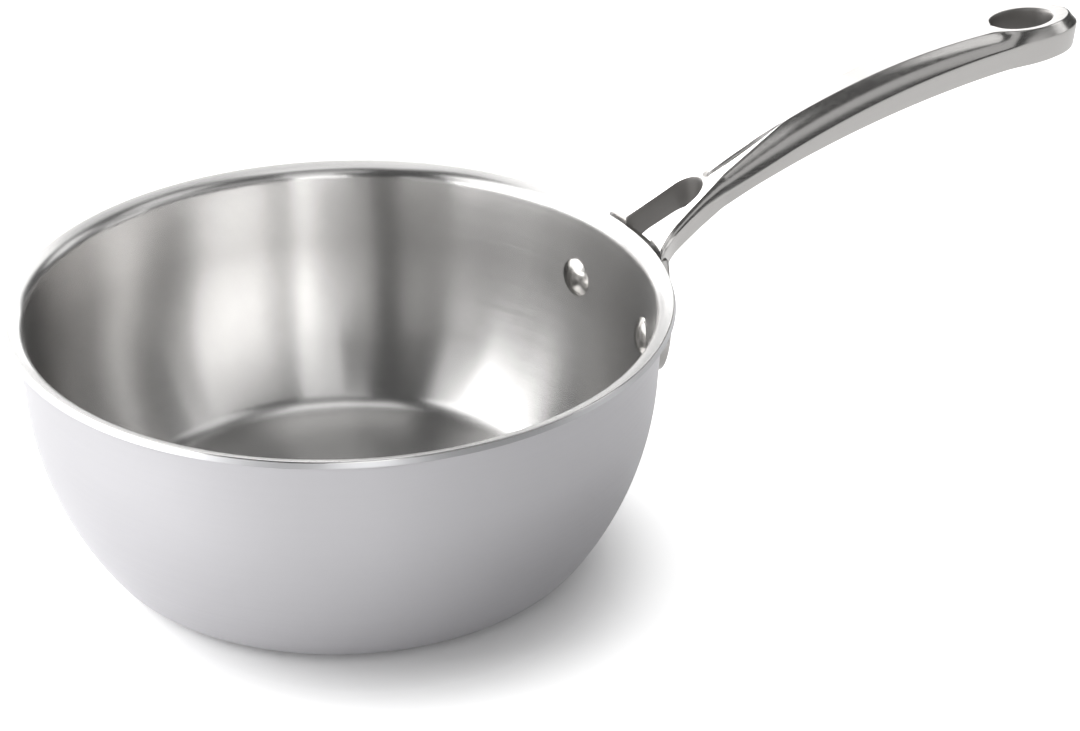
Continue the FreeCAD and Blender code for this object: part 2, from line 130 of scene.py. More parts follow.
@dataclass(frozen=True)
class SpunSheet:
    """Sheet metal, brushed while it turns on a lathe.

    The brush leaves rings round the axis, so a reflection is smeared up and down the wall into
    upright bands and stays crisp from side to side.

    Attributes:
        name: Name of the material.
        colour: sRGB hex colour of the bare metal.
        roughness: Mean roughness.
        roughness_spread: How far the rings' roughness strays from the mean.
        smear: How strongly the rings stretch a highlight, 0 to 1.
        ring_mm: Spacing of the rings. Real ones are about 0.1 mm apart, too fine to show, so they
            are drawn coarser.
        ring_depth_mm: Depth of the rings.
    """

    name: str
    colour: str
    roughness: float
    roughness_spread: float
    smear: float
    ring_mm: float
    ring_depth_mm: float

    def build(self) -> bpy.types.Material:
        """Makes the material.

        Returns:
            The finished material.
        """
        material, tree = empty_material(self.name)
        place = add_node(tree, "ShaderNodeTexCoord").outputs["Object"]
        parts = add_node(tree, "ShaderNodeSeparateXYZ", {0: place})
        flat = add_node(
            tree, "ShaderNodeCombineXYZ", {"X": parts.outputs["X"], "Y": parts.outputs["Y"]}
        )
        radius = add_node(tree, "ShaderNodeVectorMath", {0: flat.outputs[0]}, operation="LENGTH")
        heading = add_node(
            tree, "ShaderNodeVectorMath", {0: flat.outputs[0]}, operation="NORMALIZE"
        )
        # Radius plus height grows all the way up the outline, so it counts the rings
        along = add_node(
            tree,
            "ShaderNodeMath",
            {0: radius.outputs["Value"], 1: parts.outputs["Z"]},
            operation="ADD",
        )
        ring = add_node(
            tree,
            "ShaderNodeMath",
            {0: along.outputs[0], 1: 1 / (self.ring_mm * MM)},
            operation="MULTIPLY",
        )
        count = add_node(tree, "ShaderNodeCombineXYZ", {"Z": ring.outputs[0]})
        where = add_node(
            tree,
            "ShaderNodeVectorMath",
            {0: heading.outputs[0], 1: count.outputs[0]},
            operation="ADD",
        )
        grain = add_node(
            tree,
            "ShaderNodeTexNoise",
            {"Vector": where.outputs[0], "Scale": 1.0, "Detail": 3.0, "Roughness": 0.6},
        )
        rough = add_node(
            tree,
            "ShaderNodeMapRange",
            {
                "Value": grain.outputs[0],
                "From Min": RING_SPAN[0],
                "From Max": RING_SPAN[1],
                "To Min": self.roughness - self.roughness_spread,
                "To Max": self.roughness + self.roughness_spread,
            },
        )
        bump = add_node(
            tree,
            "ShaderNodeBump",
            {"Height": grain.outputs[0], "Strength": 1.0, "Distance": self.ring_depth_mm * MM},
        )
        tangent = add_node(tree, "ShaderNodeTangent", direction_type="RADIAL", axis="Z")
        shader = add_node(
            tree,
            "ShaderNodeBsdfPrincipled",
            {
                "Base Color": linear(self.colour),
                "Metallic": 1.0,
                "Roughness": rough.outputs[0],
                "Anisotropic": self.smear,
                "Anisotropic Rotation": ACROSS_RINGS,
                "Normal": bump.outputs[0],
                "Tangent": tangent.outputs[0],
            },
        )
        add_node(tree, "ShaderNodeOutputMaterial", {"Surface": shader.outputs[0]})
        return material


@dataclass(frozen=True)
class PolishedSteel:
    """Stainless steel, ground and then buffed on a soft wheel.

    It mirrors what is round it, slightly softened, with hairlines left by the wheel and the gentle
    waviness of metal that was smoothed by hand.

    Attributes:
        name: Name of the material.
        colour: sRGB hex colour of the bare metal.
        roughness: Mean roughness.
        roughness_spread: How far the hairlines' roughness strays from the mean.
        hairline_mm: Spacing of the hairlines, drawn coarser than the real ones so that they show.
        hairline_length_mm: Length of the hairlines along X.
        wave_mm: Length of the surface's waves.
        wave_depth_mm: Depth of the surface's waves.
    """

    name: str
    colour: str
    roughness: float
    roughness_spread: float
    hairline_mm: float
    hairline_length_mm: float
    wave_mm: float
    wave_depth_mm: float

    def colour_level(self, tree: bpy.types.NodeTree) -> Any:
        """Colour of the metal, as a value or a socket."""
        return linear(self.colour)

    def roughness_level(
        self, tree: bpy.types.NodeTree, place: bpy.types.NodeSocket
    ) -> bpy.types.NodeSocket:
        """Adds the hairlines' roughness.

        Args:
            tree: Node tree of the material.
            place: Socket with the place on the piece.

        Returns:
            Socket with the roughness.
        """
        across = 1 / (self.hairline_mm * MM)
        stretched = add_node(
            tree,
            "ShaderNodeMapping",
            {"Vector": place, "Scale": (1 / (self.hairline_length_mm * MM), across, across)},
        )
        hairlines = add_node(
            tree,
            "ShaderNodeTexNoise",
            {"Vector": stretched.outputs[0], "Scale": 1.0, "Detail": 2.0},
        )
        return add_node(
            tree,
            "ShaderNodeMapRange",
            {
                "Value": hairlines.outputs[0],
                "From Min": HAIRLINE_SPAN[0],
                "From Max": HAIRLINE_SPAN[1],
                "To Min": self.roughness - self.roughness_spread,
                "To Max": self.roughness + self.roughness_spread,
            },
        ).outputs[0]

    def build(self) -> bpy.types.Material:
        """Makes the material.

        Returns:
            The finished material.
        """
        material, tree = empty_material(self.name)
        place = add_node(tree, "ShaderNodeTexCoord").outputs["Object"]
        waves = add_node(
            tree,
            "ShaderNodeTexNoise",
            {"Vector": place, "Scale": 1 / (self.wave_mm * MM), "Detail": 1.0},
        )
        bump = add_node(
            tree,
            "ShaderNodeBump",
            {"Height": waves.outputs[0], "Strength": 1.0, "Distance": self.wave_depth_mm * MM},
        )
        shader = add_node(
            tree,
            "ShaderNodeBsdfPrincipled",
            {
                "Base Color": self.colour_level(tree),
                "Metallic": 1.0,
                "Roughness": self.roughness_level(tree, place),
                "Normal": bump.outputs[0],
            },
        )
        add_node(tree, "ShaderNodeOutputMaterial", {"Surface": shader.outputs[0]})
        return material


@dataclass(frozen=True)
class CastSteel(PolishedSteel):
    """Cast stainless steel, polished only where a wheel can reach it.

    The marked walls inside the slot and the hole keep the dull skin of the blasted casting, and
    their darker colour is painted shade.

    Attributes:
        painted_shade_colour: sRGB hex colour of the marked walls, darkened as painted shade.
        cast_roughness: Roughness of the blasted skin.
    """

    painted_shade_colour: str
    cast_roughness: float

    def colour_level(self, tree: bpy.types.NodeTree) -> bpy.types.NodeSocket:
        """Colour of the metal, darker on the marked walls as painted shade."""
        return self.towards_skin_and_shade(tree, "RGBA", linear(self.colour), linear(self.painted_shade_colour))

    def roughness_level(
        self, tree: bpy.types.NodeTree, place: bpy.types.NodeSocket
    ) -> bpy.types.NodeSocket:
        """Roughness of the metal, duller on the marked walls."""
        polished = super().roughness_level(tree, place)
        return self.towards_skin_and_shade(tree, "FLOAT", polished, self.cast_roughness)

    def towards_skin_and_shade(
        self, tree: bpy.types.NodeTree, kind: str, polished: Any, cast: Any
    ) -> bpy.types.NodeSocket:
        """Mixes a level of the polished metal with that of the marked walls, by the mark: their
        dull skin, and for colour their painted shade.

        Args:
            tree: Node tree of the material.
            kind: Blender's name for the type of level.
            polished: Level of the polished metal.
            cast: Level on the marked walls, which for colour is painted shade.

        Returns:
            Socket with the mixed level.
        """
        mark = add_node(tree, "ShaderNodeAttribute", attribute_name=SKIN_AND_SHADE_MARK)
        mix = add_node(tree, "ShaderNodeMix", {"Factor": mark.outputs["Fac"]}, data_type=kind)
        first, second = [socket for socket in mix.inputs if socket.enabled and socket.name in "AB"]
        for socket, level in ((first, polished), (second, cast)):
            if isinstance(level, bpy.types.NodeSocket):
                tree.links.new(level, socket)
            else:
                socket.default_value = level
        return next(socket for socket in mix.outputs if socket.enabled)


def finished_piece(
    shape: bmesh.types.BMesh, name: str, material: bpy.types.Material, sharp_angle: float
) -> bpy.types.Object:
    """Turns a bmesh into a smooth-shaded object at the origin.

    Args:
        shape: The mesh, which is freed.
        name: Name of the object and its mesh.
        material: Material of every face.
        sharp_angle: Edges that turn by more than this stay crisp.

    Returns:
        The new object, linked to the scene.
    """
    mesh = bpy.data.meshes.new(name)
    shape.to_mesh(mesh)
    shape.free()
    for polygon in mesh.polygons:
        polygon.use_smooth = True
    mesh.set_sharp_from_angle(angle=sharp_angle)
    mesh.materials.append(material)
    piece = bpy.data.objects.new(name, mesh)
    bpy.context.scene.collection.objects.link(piece)
    return piece


def stand_for(piece: bpy.types.Object, node: str) -> None:
    """Lets a piece ride on the pan's only body and stand for a CAD node.

    Args:
        piece: The new piece.
        node: CAD node that it replaces.
    """
    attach(piece, ROOT)
    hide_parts(node)
    log.info("%s stands for %s", piece.name, node)


class Outline:
    """A chain of edges in the XZ plane, drawn point by point and then spun about the Z axis."""

    def __init__(self, x: float, z: float) -> None:
        """Starts the chain at a point, in millimetres."""
        self.shape = bmesh.new()
        self.end = self.shape.verts.new((x, 0.0, z))

    def line_to(self, x: float, z: float, steps: int = 1) -> "Outline":
        """Adds a straight run.

        Args:
            x: Radius of the run's end.
            z: Height of the run's end.
            steps: Number of edges in the run.

        Returns:
            The outline itself.
        """
        start = self.end.co.copy()
        target = Vector((x, 0.0, z))
        for index in range(steps):
            self.end = bmesh.ops.extrude_vert_indiv(self.shape, verts=[self.end])["verts"][0]
            self.end.co = start.lerp(target, (index + 1) / steps)
        return self

    def arc(self, centre: Vector, angle: float, steps: int) -> "Outline":
        """Adds an arc.

        Args:
            centre: Centre of the arc.
            angle: Angle that the arc turns through, positive from +X towards +Z.
            steps: Number of edges in the arc.

        Returns:
            The outline itself.
        """
        turned = bmesh.ops.spin(
            self.shape, geom=[self.end], cent=centre, axis=(0, -1, 0), angle=angle, steps=steps
        )
        self.end = next(
            item for item in turned["geom_last"] if isinstance(item, bmesh.types.BMVert)
        )
        return self

    def spun(self, steps: int) -> bmesh.types.BMesh:
        """Spins the chain into a closed solid.

        Args:
            steps: Number of facets round the axis.

        Returns:
            The mesh in metres, with its poles closed and its normals outwards.
        """
        bmesh.ops.spin(
            self.shape,
            geom=self.shape.verts[:] + self.shape.edges[:],
            cent=(0, 0, 0),
            axis=(0, 0, 1),
            angle=TURN,
            steps=steps,
            use_merge=True,
        )
        bmesh.ops.remove_doubles(self.shape, verts=self.shape.verts[:], dist=MERGE_MM)
        bmesh.ops.dissolve_degenerate(self.shape, edges=self.shape.edges[:], dist=SLIVER_MM)
        bmesh.ops.recalc_face_normals(self.shape, faces=self.shape.faces[:])
        bmesh.ops.scale(self.shape, vec=(MM, MM, MM), verts=self.shape.verts[:])
        return self.shape


@dataclass(frozen=True)
class Layer:
    """One clad layer of the bowl, between two depths below the outer surface.

    Attributes:
        node: CAD node of the layer.
        slot: Material slot of the record.
        outer_depth: Depth of its outer surface.
        inner_depth: Depth of its inner surface.
        rounds_outer: Whether its outer edge at the lip is rounded.
        rounds_inner: Whether its inner edge at the lip is rounded.
    """

    node: str
    slot: str
    outer_depth: float
    inner_depth: float
    rounds_outer: bool = False
    rounds_inner: bool = False


@dataclass
class Bowl:
    """The clad bowl: a flat base, a curved side, a nearly upright wall and a flared lip."""

    rim_height: float = 85.5
    wall_top_radius: float = 102.5
    lip_overhang: float = 4.0
    wall_lean: float = math.radians(3.7)
    wall_foot_height: float = 58.0
    side_radius: float = 104.0
    corner_radius: float = 12.0
    bend_radius: float = 2.0
    lip_slope: float = math.radians(18.0)
    edge_radius: float = 0.35
    wall_thickness: float = 2.5
    lip_clearance: float = 0.3
    facets: int = 288
    sharp_angle: float = math.radians(40.0)
    layers: tuple[Layer, ...] = (
        Layer("outer_shell", "outer_steel", 0.0, 0.5, rounds_outer=True),
        Layer("aluminium_core", "core_aluminium", 0.5, 2.0),
        Layer("inner_liner", "liner_steel", 2.0, 2.5, rounds_inner=True),
    )

    @property
    def lip_radius(self) -> float:
        """Radius of the lip's outer edge."""
        return self.wall_top_radius + self.lip_overhang

    @property
    def bend_centre(self) -> Vector:
        """Centre of the bend between the wall and the lip."""
        return Vector((
            self.wall_top_radius + self.bend_radius * math.cos(self.wall_lean),
            0.0,
            self.rim_height
            - (self.bend_radius + self.wall_thickness) * math.cos(self.lip_slope)
            - self.lip_length * math.sin(self.lip_slope),
        ))

    @property
    def lip_length(self) -> float:
        """Works out the lip's straight part.

        Returns:
            Its length.
        """
        bend_radius = self.wall_top_radius + self.bend_radius * math.cos(self.wall_lean)
        rest = self.lip_radius - bend_radius + self.bend_radius * math.sin(self.lip_slope)
        return rest / math.cos(self.lip_slope)

    @property
    def wall_top_height(self) -> float:
        """Height at which the wall bends into the lip."""
        return self.bend_centre.z + self.bend_radius * math.sin(self.wall_lean)

    def wall_radius(self, height: float) -> float:
        """Outer radius of the straight part of the wall at a height."""
        return self.wall_top_radius - (self.wall_top_height - height) * math.tan(self.wall_lean)

    @property
    def side_centre(self) -> Vector:
        """Centre of the curved side."""
        return Vector((
            self.wall_radius(self.wall_foot_height) - self.side_radius * math.cos(self.wall_lean),
            0.0,
            self.wall_foot_height + self.side_radius * math.sin(self.wall_lean),
        ))

    @property
    def corner_centre(self) -> Vector:
        """Works out the rounded corner between the base and the side.

        Returns:
            Centre of the corner.
        """
        side = self.side_centre
        reach = math.sqrt(
            (self.side_radius - self.corner_radius) ** 2 - (side.z - self.corner_radius) ** 2
        )
        return Vector((side.x + reach, 0.0, self.corner_radius))

    def lip_end(self, depth: float) -> Vector:
        """Works out where the lip ends.

        Args:
            depth: Depth of the surface below the outer one.

        Returns:
            End of the lip on that surface.
        """
        turn = math.pi / 2 + self.lip_slope
        reach = self.bend_radius + depth
        start = self.bend_centre + Vector((math.cos(turn), 0.0, math.sin(turn))) * reach
        return start + self.lip_direction * self.lip_length

    @property
    def lip_direction(self) -> Vector:
        """Direction of the lip, outwards and up."""
        return Vector((math.cos(self.lip_slope), 0.0, math.sin(self.lip_slope)))

    def draw_up(self, outline: Outline, depth: float) -> None:
        """Draws one surface from the axis up to the wall's top.

        Args:
            outline: Outline that starts on the axis at the surface's depth.
            depth: Depth of the surface below the outer one.
        """
        corner = self.corner_centre
        side = self.side_centre
        corner_turn = math.atan2(corner.z - side.z, corner.x - side.x)
        outline.line_to(corner.x, depth, steps=6)
        outline.arc(corner, corner_turn + math.pi / 2, steps=10)
        outline.arc(side, -self.wall_lean - corner_turn, steps=20)
        wall_top = self.wall_point(depth)
        outline.line_to(wall_top.x, wall_top.z, steps=3)

    def wall_point(self, depth: float) -> Vector:
        """Works out where the wall ends and the bend begins.

        Args:
            depth: Depth of the surface below the outer one.

        Returns:
            Top of the wall on that surface.
        """
        turn = math.pi - self.wall_lean
        reach = self.bend_radius + depth
        return self.bend_centre + Vector((math.cos(turn), 0.0, math.sin(turn))) * reach

    def surface(self, depth: float, setback: float) -> list[Vector]:
        """Points of one surface, read off a drawn outline.

        Args:
            depth: Depth of the surface below the outer one.
            setback: Distance by which the lip stops short.

        Returns:
            Points from the axis to the lip.
        """
        outline = Outline(0.0, depth)
        self.draw_up(outline, depth)
        outline.arc(self.bend_centre, self.lip_slope + self.wall_lean - math.pi / 2, steps=8)
        end = self.lip_end(depth) - self.lip_direction * setback
        outline.line_to(end.x, end.z, steps=2)
        points = [vert.co.copy() for vert in outline.shape.verts]
        outline.shape.free()
        return points

    def layer_shape(self, layer: Layer) -> bmesh.types.BMesh:
        """Spins one layer.

        Args:
            layer: The layer.

        Returns:
            A closed mesh in metres.
        """
        outer = self.surface(layer.outer_depth, self.edge_radius if layer.rounds_outer else 0.0)
        inner = self.surface(layer.inner_depth, self.edge_radius if layer.rounds_inner else 0.0)
        across = (self.lip_end(layer.inner_depth) - self.lip_end(layer.outer_depth)).normalized()
        outline = Outline(outer[0].x, outer[0].z)
        for point in outer[1:]:
            outline.line_to(point.x, point.z)
        if layer.rounds_outer:
            outline.arc(outer[-1] + across * self.edge_radius, math.pi / 2, steps=4)
        top = inner[-1]
        if layer.rounds_inner:
            edge = top + (self.lip_direction - across) * self.edge_radius
            outline.line_to(edge.x, edge.z)
            outline.arc(top - across * self.edge_radius, math.pi / 2, steps=4)
        for point in reversed(inner[:-1] if layer.rounds_inner else inner):
            outline.line_to(point.x, point.z)
        return outline.spun(self.facets)

    def build(self, finishes: dict[str, bpy.types.Material]) -> None:
        """Builds and dresses the three layers.

        Args:
            finishes: Material for each slot.
        """
        for layer in self.layers:
            shape = self.layer_shape(layer)
            finish = finishes[layer.slot]
            piece = finished_piece(shape, f"bowl_{layer.node}", finish, self.sharp_angle)
            stand_for(piece, layer.node)

    def room(self, top: float) -> bmesh.types.BMesh:
        """Space that the handle keeps out of: the bowl, and the room round its lip.

        Args:
            top: Height at which the space ends.

        Returns:
            A closed mesh in metres.
        """
        outline = Outline(0.0, 0.0)
        self.draw_up(outline, 0.0)
        clear = self.lip_radius + self.lip_clearance
        outline.line_to(clear, self.wall_top_height)
        outline.line_to(clear, top)
        outline.line_to(0.0, top)
        return outline.spun(self.facets)


class Side(Enum):
    """Sides of the handle, as factors of the rivets' angle."""

    LEFT = 1
    RIGHT = -1


@dataclass
class Rivets:
    """The two rivets: a domed head inside the bowl, a shank, and an upset tail on the flange."""

    bowl: Bowl
    angle: float = math.radians(14.2)
    height: float = 60.5
    shank_diameter: float = 6.0
    head_diameter: float = 13.0
    head_height: float = 2.6
    head_edge: float = 0.35
    tail_diameter: float = 10.0
    tail_height: float = 1.2
    seat_depth: float = 0.3
    flange_thickness: float = 4.73
    facets: int = 64
    sharp_angle: float = math.radians(45.0)

    def dome(self, outline: Outline, diameter: float, rise: float) -> None:
        """Draws half a dome from its crown on the axis out to its rim, or back.

        Args:
            outline: Outline whose end lies at the crown or at the rim.
            diameter: Width of the dome.
            rise: Height of the dome, negative if the outline starts at its rim.
        """
        height = abs(rise)
        radius = (diameter ** 2 / 4 + height ** 2) / (2 * height)
        half_angle = math.asin(diameter / 2 / radius)
        crown = outline.end.co.z if rise > 0 else outline.end.co.z + height
        centre = Vector((0.0, 0.0, crown + radius * math.copysign(1, rise)))
        outline.arc(centre, half_angle, steps=12)

    def shape(self) -> bmesh.types.BMesh:
        """Spins one rivet about the Z axis, its head down and the wall's inner surface at zero.

        Returns:
            A closed mesh in metres.
        """
        stack = self.bowl.wall_thickness + self.flange_thickness
        half_head = self.head_diameter / 2
        half_tail = self.tail_diameter / 2
        half_shank = self.shank_diameter / 2
        outline = Outline(0.0, -self.head_height)
        self.dome(outline, self.head_diameter, self.head_height - self.head_edge)
        outline.line_to(half_head, -self.head_edge)
        outline.line_to(half_head, self.seat_depth)
        outline.line_to(half_shank, self.seat_depth)
        outline.line_to(half_shank, stack - self.seat_depth)
        outline.line_to(half_tail, stack - self.seat_depth)
        outline.line_to(half_tail, stack)
        self.dome(outline, self.tail_diameter, -self.tail_height)
        return outline.spun(self.facets)

    def build(self, finishes: dict[str, bpy.types.Material]) -> None:
        """Builds and dresses both rivets as one piece.

        Args:
            finishes: Material for each slot.
        """
        bowl = self.bowl
        inner = bowl.wall_radius(self.height) - bowl.wall_thickness / math.cos(bowl.wall_lean)
        both = bmesh.new()
        for side in Side:
            one = self.shape()
            # The rivet's axis turns from +Z to +X, and down a little to stand square on the wall
            turn = Matrix.Rotation(math.pi / 2 + bowl.wall_lean, 4, "Y")
            place = Matrix.Translation(Vector((inner, 0.0, self.height)) * MM)
            around = Matrix.Rotation(side.value * self.angle, 4, "Z")
            bmesh.ops.transform(one, matrix=around @ place @ turn, verts=one.verts[:])
            mesh = bpy.data.meshes.new("one_rivet")
            one.to_mesh(mesh)
            one.free()
            both.from_mesh(mesh)
            bpy.data.meshes.remove(mesh)
        piece = finished_piece(both, "rivet_pair", finishes["rivet_steel"], self.sharp_angle)
        stand_for(piece, "handle_rivets")


@dataclass(frozen=True)
class LongArc:
    """A line along the handle that is an arc in side view.

    Attributes:
        radius: Radius of the arc.
        crest_reach: Reach at which it crests.
        crest_rise: Rise of its crest.
    """

    radius: float
    crest_reach: float
    crest_rise: float

    def rise(self, reach: float) -> float:
        """Rise of the line at a reach."""
        return self.crest_rise - self.radius + math.sqrt(
            self.radius ** 2 - (reach - self.crest_reach) ** 2
        )

    def straightened(self, reach: float, touch: float) -> float:
        """Rise of the line if it leaves its arc and runs straight on.

        Args:
            reach: Reach along the handle.
            touch: Reach at which the line leaves the arc.

        Returns:
            Rise of the line.
        """
        if reach < touch:
            return self.rise(reach)
        offset = self.crest_reach - touch
        slope = offset / math.sqrt(self.radius ** 2 - offset ** 2)
        return self.rise(touch) + slope * (reach - touch)


@dataclass(frozen=True)
class Oval:
    """An oval at the handle's tip, seen from above.

    Attributes:
        setback: Distance from the tip to the oval's far end.
        length: Length along the handle.
        width: Width across the handle.
    """

    setback: float
    length: float
    width: float

    def point(self, tip: float, angle: float, grow: float) -> Vector:
        """Point of the oval.

        Args:
            tip: Reach of the handle's tip.
            angle: Angle round the oval in degrees, 0 at its far end.
            grow: Factor for the oval's size.

        Returns:
            Reach and distance from the handle's middle plane, at no rise.
        """
        turn = math.radians(angle)
        along = self.length / 2 * (grow * math.cos(turn) - 1) - self.setback
        return Vector((tip + along, abs(self.width / 2 * grow * math.sin(turn)), 0.0))


@dataclass(frozen=True)
class ForkSection:
    """Cross-section of the fork below the plane on its legs' top."""

    reach: float
    top_half: float
    crease_half: float
    crease_drop: float
    underside_half: float
    depth: float


class Level(IntEnum):
    """Levels of the handle at which its half-widths are given."""

    TOP = 0
    CREASE = 1
    UNDERSIDE = 2


class Row(IntEnum):
    """Long rows of the handle's cage, from the top's middle round one side to the underside's."""

    TOP_MIDDLE = 0
    RIDGE = 1
    FOOT = 2
    TOP_EDGE = 3
    FLANK = 4
    CREASE = 5
    LOWER_EDGE = 6
    UNDERSIDE_MIDDLE = 7


def cage_share(step: float) -> float:
    """How much a ring of cage points has to grow for its smooth surface to reach the ring's radius.

    Args:
        step: Angle between two points of the ring.

    Returns:
        Factor for the ring's radius.
    """
    # Smoothing keeps four sixths of a point and takes a sixth of each neighbour
    return 6 / (4 + 2 * math.cos(step))


def on_middle(item: Union[bmesh.types.BMEdge, bmesh.types.BMFace]) -> bool:
    """Whether an edge or face lies in the handle's middle plane."""
    return all(abs(vert.co.y) < MIDDLE_MM for vert in item.verts)


@dataclass
class CastHandle:
    """The cast handle: an arched grip that forks round a slot into a flange riveted to the wall."""

    bowl: Bowl
    rivets: Rivets
    reach: float = 169.0
    top: LongArc = LongArc(246.0, 146.5, 50.6)
    crease: LongArc = LongArc(318.0, 174.4, 47.1)
    underside: LongArc = LongArc(388.0, 181.5, 38.9)
    shoulder: float = 52.0
    shoulder_halves: tuple[float, float, float] = (3.7, 9.5, 8.0)
    tip_halves: tuple[float, float, float] = (6.4, 10.9, 9.0)
    bulge: float = 0.085
    fork_rise: float = 2.0
    fork: tuple[ForkSection, ...] = (
        ForkSection(-3.0, 19.5, 21.0, 2.4, 18.5, 20.0),
        ForkSection(1.5, 15.2, 16.8, 2.4, 14.8, 13.0),
        ForkSection(6.0, 12.6, 14.2, 2.4, 12.4, 10.2),
        ForkSection(12.5, 10.6, 12.1, 2.6, 10.6, 10.4),
        ForkSection(19.5, 8.8, 10.5, 3.6, 9.0, 10.7),
        ForkSection(27.5, 6.5, 9.2, 5.6, 8.0, 11.0),
        ForkSection(39.5, 5.2, 9.3, 7.6, 8.0, 12.5),
    )
    slot_reach: float = 22.8
    slot_half: float = 8.6
    slot_end_radius: float = 6.6
    tongue_reach: float = 24.6
    tongue_end_half: float = 0.9
    tongue_radius: float = 120.0
    tongue_slope: float = math.radians(20.0)
    tongue_height: float = 0.6
    eye_top: Oval = Oval(3.7, 32.6, 20.4)
    eye_crease: Oval = Oval(0.0, 38.0, 21.8)
    eye_underside: Oval = Oval(0.6, 36.8, 19.0)
    hole: Oval = Oval(10.8, 22.4, 15.8)
    eye_blends: tuple[int, int, int] = (6, 60, 60)
    ear_radius: float = 11.5
    flange_below_rim: float = 2.0
    flange_top_half: float = 19.1
    flange_foot_thickness: float = 3.6
    flange_beyond_lip: float = 3.2
    flange_rounding: float = 1.12
    flange_flat_depth: float = 10.0
    flange_strip: float = 2.0
    rim_rounding: float = 0.9
    # Facing and reach that pick the walls of the slot and the hole which get the dull skin and the
    # painted shade
    skin_and_shade_facing: tuple[float, float] = (0.3, 0.7)
    skin_and_shade_margin: float = 1.0
    room_above_rim: float = 60.0
    edge_crease: float = 0.5
    support: float = 0.35
    smoothing: int = 3
    sharp_angle: float = math.radians(32.0)
    # Places of the cage's columns, as reaches in the middle and at the side or as angles
    leg_reaches: tuple[float, ...] = (-3.0, 1.5, 6.0, 9.5, 13.5)
    slot_end_angles: tuple[float, ...] = (1.15, 0.75, 0.38, 0.0)
    slot_end_reaches: tuple[float, ...] = (17.0, 19.5, 22.2, 25.0, 27.5)
    tongue_spots: tuple[tuple[float, float], ...] = (
        (24.3, 28.6), (24.75, 29.4), (28.5, 32.5), (33.5, 36.5),
        (39.5, 41.5), (45.5, 46.5), (50.0, 50.3),
    )
    grip_reaches: tuple[float, ...] = (
        52.5, 55.5, 62.0, 71.0, 80.0, 89.0, 98.0, 107.0, 116.0, 124.0, 129.5,
    )
    eye_start: float = 131.4
    hole_lead: float = 1.1
    eye_step: float = math.radians(20.0)
    eye_angles: tuple[tuple[int, int, int], ...] = (
        (180, 169, 153), (158, 148, 137), (138, 132, 123), (117, 117, 111), (95, 100, 99),
        (73, 83, 82), (52, 62, 62), (34, 41, 41), (17, 20, 20), (0, 0, 0),
    )
    bulge_fade: float = 63.0
    # Places of the cage's ridge and foot rows, as shares of the way from the middle to the top edge
    leg_ridge_share: float = 0.25
    lead_ridge_share: float = 0.15
    most_ridge_share: float = 0.4
    foot_share: float = 0.7

    def fork_plane(self, reach: float) -> float:
        """Rise of the plane on the legs' top."""
        slope = (self.top.rise(self.shoulder) - self.fork_rise) / self.shoulder
        return self.fork_rise + slope * reach

    def ridge(self, reach: float) -> float:
        """Works out the tongue's arc, which carries the grip's top on over the fork.

        Args:
            reach: Reach along the handle.

        Returns:
            Rise of the tongue.
        """
        centre_reach = self.shoulder + self.tongue_radius * math.sin(self.tongue_slope)
        drop = self.tongue_radius * math.cos(self.tongue_slope)
        centre_rise = self.top.rise(self.shoulder) - drop
        return centre_rise + math.sqrt(self.tongue_radius ** 2 - (reach - centre_reach) ** 2)

    def tongue_half(self, reach: float) -> float:
        """Half-width of the tongue."""
        share = (reach - self.tongue_reach) / (self.shoulder - self.tongue_reach)
        return self.tongue_end_half + share * (
            self.shoulder_halves[Level.TOP] - self.tongue_end_half
        )

    def fork_section(self, reach: float) -> ForkSection:
        """Cross-section of the fork at a reach, between the rows of its table.

        Args:
            reach: Reach along the handle.

        Returns:
            The section.
        """
        end_top, end_crease, end_under = self.shoulder_halves
        top = self.top.rise(self.shoulder)
        last = ForkSection(
            self.shoulder,
            end_top,
            end_crease,
            top - self.crease.rise(self.shoulder),
            end_under,
            top - self.underside.rise(self.shoulder),
        )
        rows = self.fork + (last,)
        before, after = next(
            (pair for pair in zip(rows, rows[1:]) if reach <= pair[1].reach), (rows[-2], rows[-1])
        )
        share = (reach - before.reach) / (after.reach - before.reach)

        def mix(name: str) -> float:
            """Value of one field at the reach."""
            return getattr(before, name) + share * (getattr(after, name) - getattr(before, name))

        names = ("top_half", "crease_half", "crease_drop", "underside_half", "depth")
        return ForkSection(reach, *(mix(name) for name in names))

    def grip_halves(self, reach: float) -> list[float]:
        """Works out how wide the grip is.

        Args:
            reach: Reach along the handle.

        Returns:
            Half-width at each level.
        """
        share = (reach - self.shoulder) / (self.reach - self.shoulder)
        pairs = zip(self.shoulder_halves, self.tip_halves)
        return [start + share * (end - start) for start, end in pairs]

    def outer(self, reach: float) -> tuple[Vector, Vector, Vector]:
        """Top edge, crease and lower edge at a reach.

        Args:
            reach: Reach along the handle.

        Returns:
            Three points as reach, half-width and rise.
        """
        if reach < self.shoulder:
            cut = self.fork_section(reach)
            plane = self.fork_plane(reach)
            return (
                Vector((reach, cut.top_half, plane)),
                Vector((reach, cut.crease_half, plane - cut.crease_drop)),
                Vector((reach, cut.underside_half, plane - cut.depth)),
            )
        top_half, crease_half, under_half = self.grip_halves(reach)
        return (
            Vector((reach, top_half, self.top.rise(reach))),
            Vector((reach, crease_half, self.crease.rise(reach))),
            Vector((reach, under_half, self.underside.rise(reach))),
        )

    def column(
        self,
        top: Sequence[Vector],
        sides: Sequence[Vector],
        under: Vector,
        bulging: float = 1.0,
    ) -> list[Vector]:
        """Puts together one column of the cage.

        Args:
            top: Points of the top's middle, ridge and foot rows.
            sides: Top edge, crease and lower edge.
            under: Point in the underside's middle.
            bulging: How much of its bulge the upper side has, 0 to 1.

        Returns:
            One point per row.
        """
        edge, crease, lower = sides
        chord = crease - edge
        outwards = Vector((0.0, -chord.z, chord.y))
        flank = (edge + crease) / 2 + outwards * self.bulge * CAGE_BULGE * bulging
        return [*top, edge, flank, crease, lower, under]

